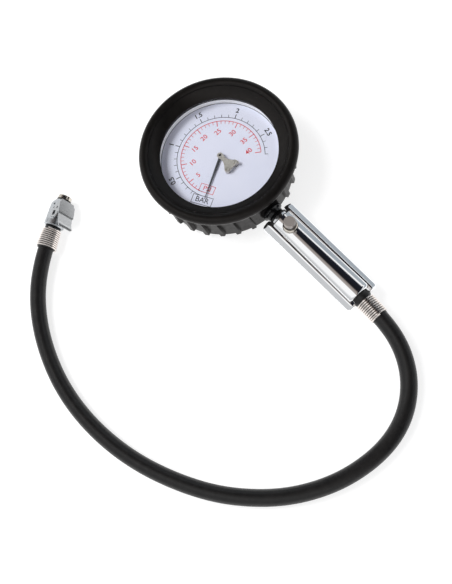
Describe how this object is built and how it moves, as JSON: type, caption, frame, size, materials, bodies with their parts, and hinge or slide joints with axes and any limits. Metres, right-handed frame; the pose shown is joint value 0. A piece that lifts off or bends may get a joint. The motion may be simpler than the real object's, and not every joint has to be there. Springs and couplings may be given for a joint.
{
  "type": "tyre pressure gauge",
  "caption": "Dial tyre pressure gauge in a rubber boot, with a three-bar chrome handle, a bleed button, and a rubber hose that ends in a clip-on chuck with a thumb lever.",
  "frame": {"origin": "centre of the rubber boot's flat back, on the dial's axis", "axes": "+Z along the dial's normal, out of the dial; the handle leaves the gauge along -Y; +X is the dial's 3 o'clock"},
  "size_m": [0.225, 0.2649, 0.036],
  "materials": {
    "boot_rubber": "matt, glossy inside the lip",
    "case_steel": "black satin",
    "clear_lens": "clear",
    "white_plastic": "satin white",
    "dial_print": "printed, semi-matt",
    "brass": "machined",
    "pointer_paint": "satin dark grey",
    "nickel": "bright nickel",
    "spring_steel": "bright",
    "chrome": "polished chrome plate",
    "hose_rubber": "satin black",
    "seal_rubber": "matt black",
    "wire_nickel": "bright wire",
    "lever_steel": "satin grey plate",
    "copper_wire": "coppered wire"
  },
  "bodies": {
    "gauge": {"rubber_boot": "boot_rubber", "gauge_case": "case_steel", "bezel_ring": "case_steel", "lens": "clear_lens", "lens_gasket": "seal_rubber", "spacer_ring": "white_plastic", "dial_plate": "dial_print", "pressure_socket": "brass", "bourdon_tube": "brass", "hairspring": "spring_steel", "movement_rear_plate": "brass", "movement_front_plate": "brass", "movement_pillars": "brass", "movement_screws": "spring_steel", "pointer_bridge": "nickel", "bridge_posts": "nickel", "bridge_screws": "nickel", "neck_collar": "chrome", "neck_seal": "seal_rubber", "handle_body": "chrome", "bleed_collar": "nickel", "bleed_spring": "spring_steel", "handle_barb": "brass", "handle_coil_clamp": "wire_nickel", "hose": "hose_rubber", "chuck_coil_clamp": "wire_nickel", "chuck_barb": "brass", "chuck_body": "chrome", "lever_pin": "spring_steel", "lever_spring": "copper_wire", "chuck_nose": "nickel", "nose_gasket": "seal_rubber", "chuck_seal": "seal_rubber", "valve_depressor": "brass"},
    "pointer": {"pointer": "pointer_paint", "pinion": "nickel"},
    "sector": {"sector_gear": "brass"},
    "link": {"link": "brass"},
    "tube_tip": {"tube_tip": "brass"},
    "bleed_button": {"bleed_button": "nickel", "bleed_seal": "seal_rubber"},
    "chuck_lever": {"chuck_lever": "lever_steel"}
  },
  "joints": [
    {"name": "pointer_turn", "type": "hinge", "parent": "gauge", "child": "pointer", "pos_m": [0, 0, 0.0129], "axis": [0, 0, 1], "range_deg": [-255, 0], "stiffness_Nm_per_rad": 0.0001, "deforming": ["hairspring"]},
    {"name": "sector_swing", "type": "hinge", "parent": "gauge", "child": "sector", "pos_m": [0.01389, -0.01389, 0.0127], "axis": [0, 0, 1], "range_deg": [0, 42.6]},
    {"name": "link_swing", "type": "hinge", "parent": "sector", "child": "link", "pos_m": [0.01814, -0.01814, 0.0142], "axis": [0, 0, 1], "range_deg": [-48.1, 0]},
    {"name": "tube_tip_travel", "type": "slide", "parent": "gauge", "child": "tube_tip", "axis": [0.6691, 0.7431, 0], "range_m": [0, 0.00425], "deforming": ["bourdon_tube"]},
    {"name": "bleed_press", "type": "slide", "parent": "gauge", "child": "bleed_button", "axis": [0, 0, -1], "range_m": [0, 0.0018], "stiffness_N_per_m": 600, "deforming": ["bleed_spring"]},
    {"name": "lever_press", "type": "hinge", "parent": "gauge", "child": "chuck_lever", "pos_m": [-0.09533, 0.05184, 0.01017], "axis": [0.2723, -0.4717, -0.8387], "range_deg": [0, 14], "stiffness_Nm_per_rad": 0.35, "deforming": ["lever_spring"]}
  ],
  "couplings": [
    {"joint": "sector_swing", "follows": "pointer_turn", "ratio": -0.16667},
    {"joint": "link_swing", "follows": "pointer_turn", "ratio": 0.18784},
    {"joint": "tube_tip_travel", "follows": "pointer_turn", "m_per_rad": -0.0009498}
  ]
}
